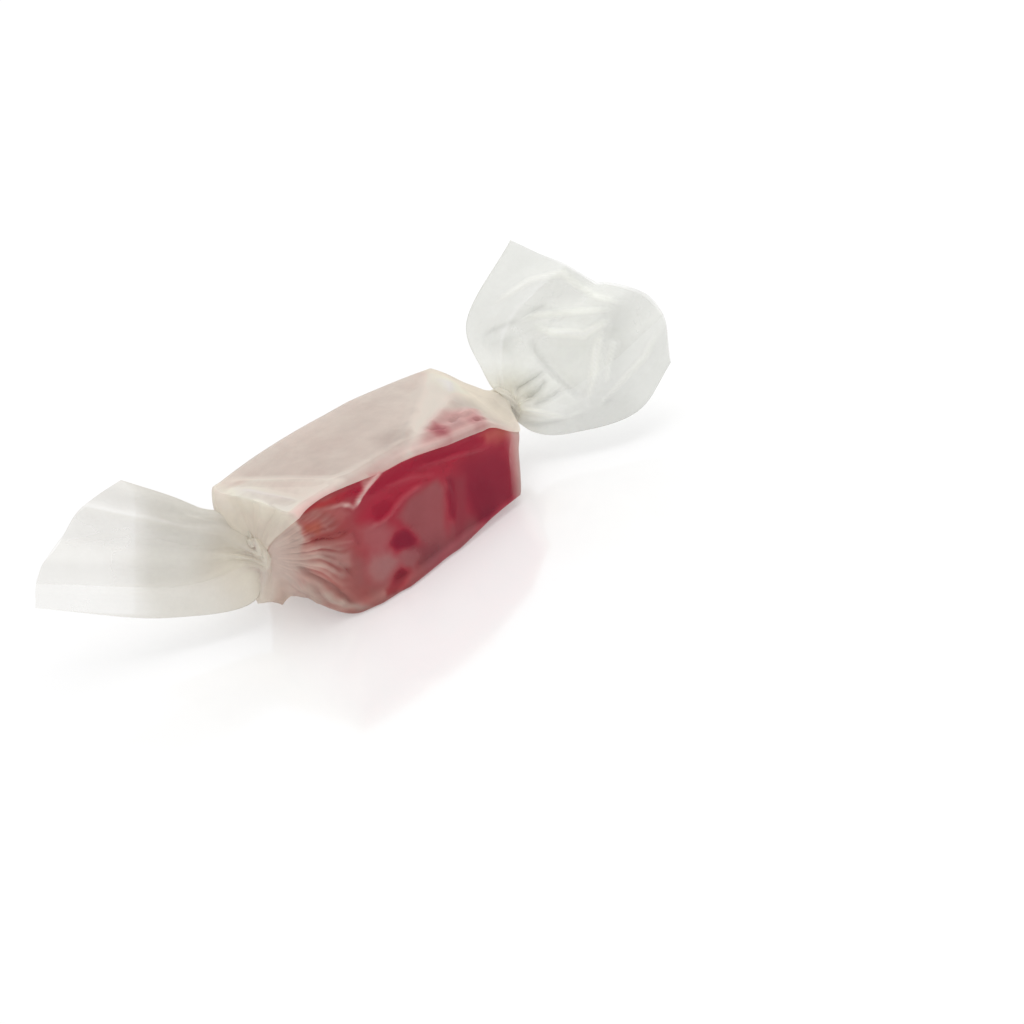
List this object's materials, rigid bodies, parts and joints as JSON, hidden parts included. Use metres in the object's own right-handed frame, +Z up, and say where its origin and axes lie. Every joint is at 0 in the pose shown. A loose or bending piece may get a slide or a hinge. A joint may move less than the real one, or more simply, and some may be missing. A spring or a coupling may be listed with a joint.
{
  "type": "wrapped hard candy",
  "caption": "Red hard sweet, an oblong block, in milky clear film that is twisted shut at both ends and flares into wavy tails.",
  "frame": {"origin": "middle of the flat underside that the sweet rests on", "axes": "+X along the sweet to its raised tail, +Y to its back, +Z up"},
  "size_m": [0.0667, 0.0249, 0.0202],
  "materials": {
    "film": "milky clear film, softly glossy and creased",
    "candy": "glossy boiled sugar, deep red, slightly translucent"
  },
  "bodies": {
    "root": {"wrapped_sweet": "film"}
  },
  "joints": []
}
